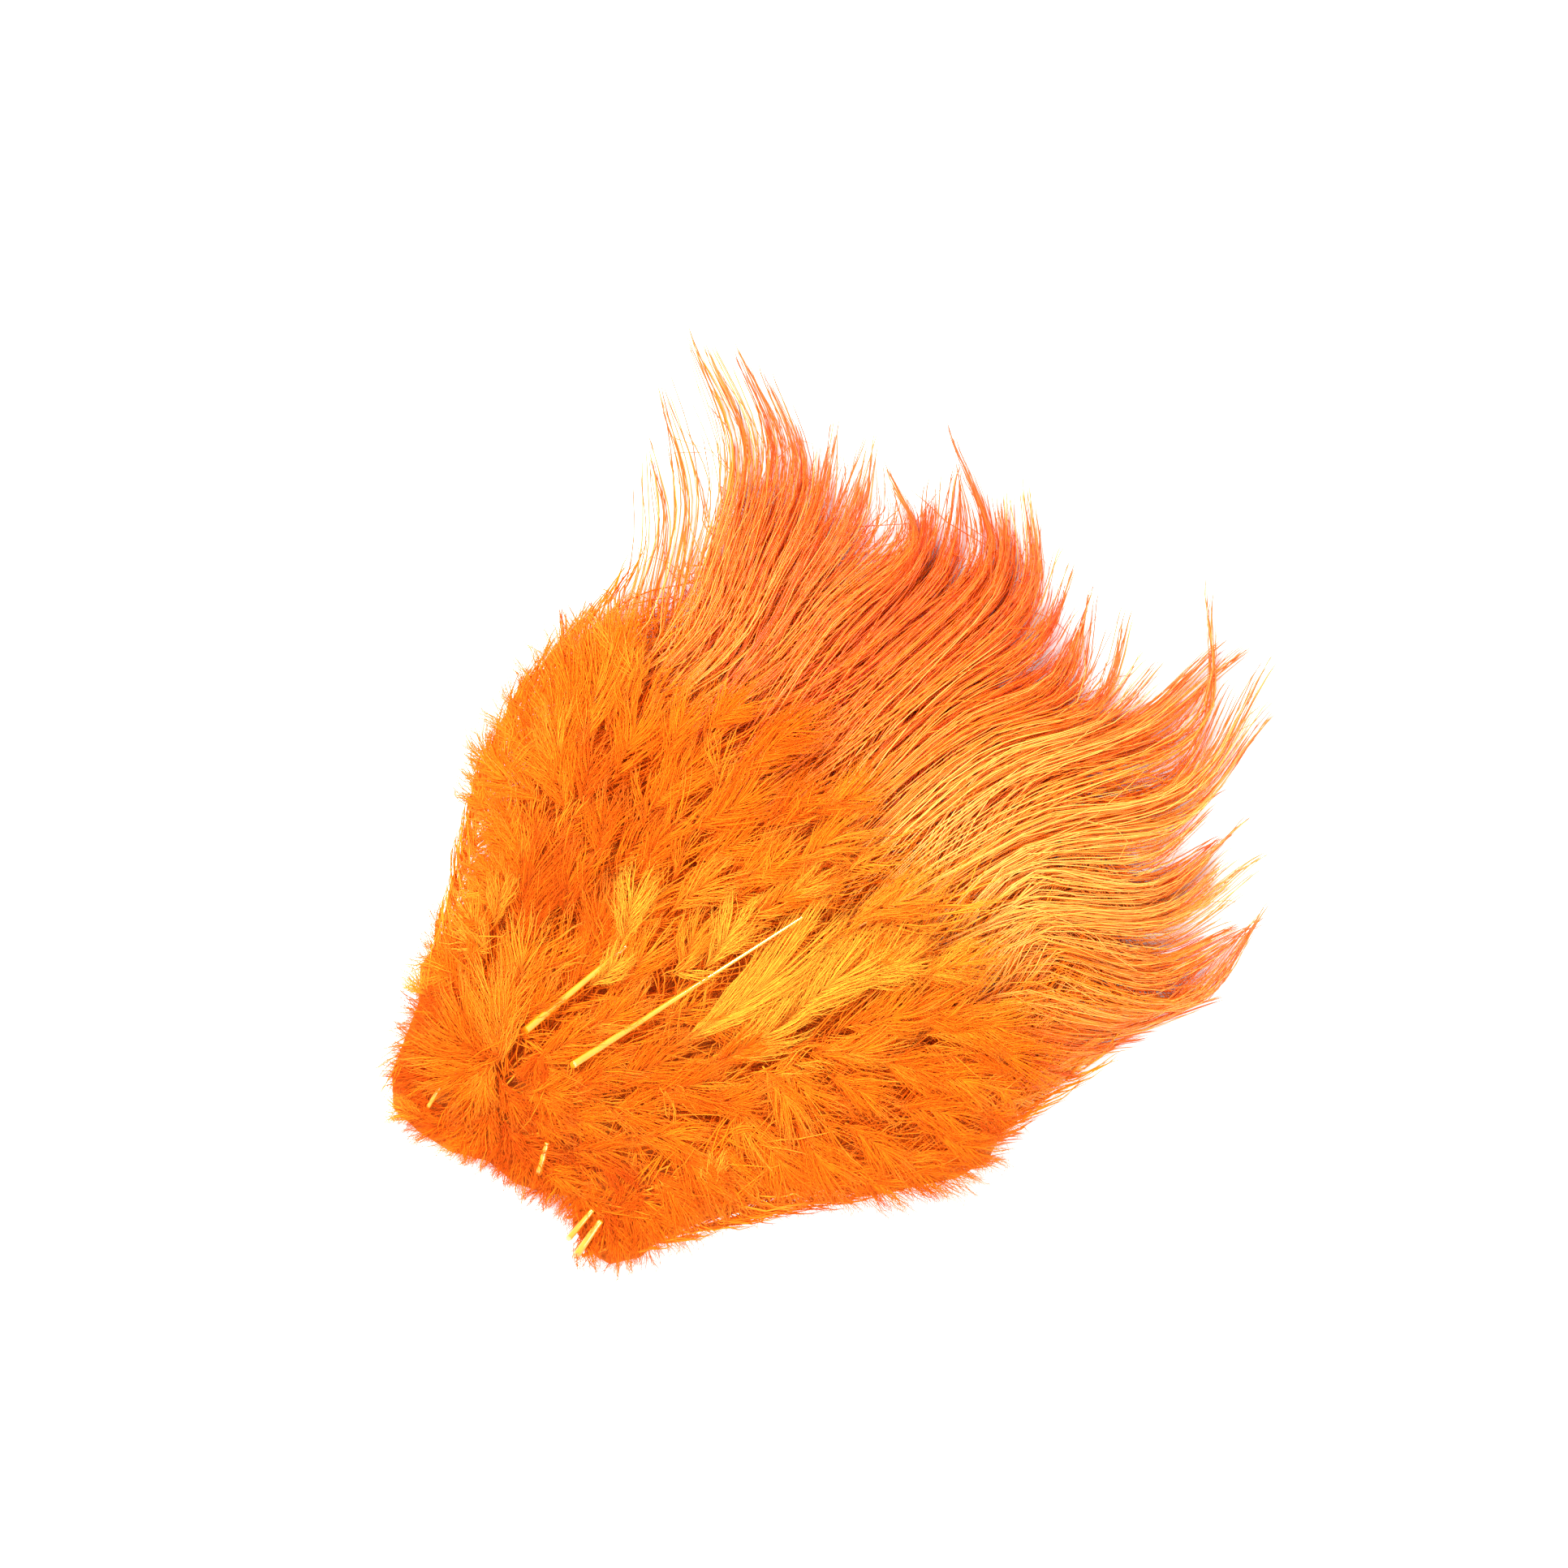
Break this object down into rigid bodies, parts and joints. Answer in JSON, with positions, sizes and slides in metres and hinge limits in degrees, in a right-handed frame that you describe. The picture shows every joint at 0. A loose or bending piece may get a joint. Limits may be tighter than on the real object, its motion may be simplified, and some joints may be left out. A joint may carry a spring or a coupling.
{
  "type": "pheasant rump feather patch",
  "caption": "Small flat piece of dyed pheasant rump skin whose feathers fan out in overlapping rows, downy at the cut edge and hair-like at the tips.",
  "frame": {"origin": "under the middle of the patch's overall box, on the surface that it lies on", "axes": "+Y along the lay, from the cut back edge to the feather tips; +Z up from the skin to the feathers; +X to the right, seen from above with +Y up"},
  "size_m": [0.1106, 0.1303, 0.017],
  "materials": {
    "down": "soft matte down, dyed bright orange with paler peach tips",
    "barbs": "silky hair-like barbs, dyed orange, with a soft sheen along them",
    "quill": "glossy keratin, stained golden yellow",
    "skin": "dry tanned skin with the dye in it"
  },
  "bodies": {
    "root": {"bare_quill_a": "quill", "bare_quill_b": "quill", "cut_quill_a": "quill", "cut_quill_b": "quill", "cut_quill_c": "quill", "cut_quill_d": "quill", "feather_01a": "down", "feather_01b": "down", "feather_02a": "down", "feather_02b": "down", "feather_02c": "down", "feather_03a": "down", "feather_03b": "down", "feather_03c": "down", "feather_04a": "down", "feather_04b": "down", "feather_04c": "down", "feather_04d": "down", "feather_05a": "down", "feather_05b": "down", "feather_05c": "down", "feather_06a": "down", "feather_06b": "down", "feather_06c": "down", "feather_06d": "down", "feather_07a": "down", "feather_07b": "down", "feather_07c": "down", "feather_08a": "barbs", "feather_08b": "barbs", "feather_08c": "barbs", "feather_08d": "barbs", "feather_09a": "barbs", "feather_09b": "barbs", "feather_09c": "barbs", "feather_09d": "barbs", "feather_10a": "barbs", "feather_10b": "barbs", "feather_10c": "barbs", "feather_10d": "barbs", "feather_10e": "barbs", "feather_11a": "barbs", "feather_11b": "barbs", "feather_11c": "barbs", "feather_11d": "barbs", "feather_12a": "barbs", "feather_12b": "barbs", "feather_12c": "barbs", "feather_12d": "barbs", "feather_12e": "barbs", "feather_13a": "barbs", "feather_13b": "barbs", "feather_13c": "barbs", "feather_13d": "barbs", "feather_14a": "barbs", "feather_14b": "barbs", "feather_14c": "barbs", "feather_14d": "barbs", "feather_14e": "barbs", "skin": "skin"}
  },
  "joints": []
}
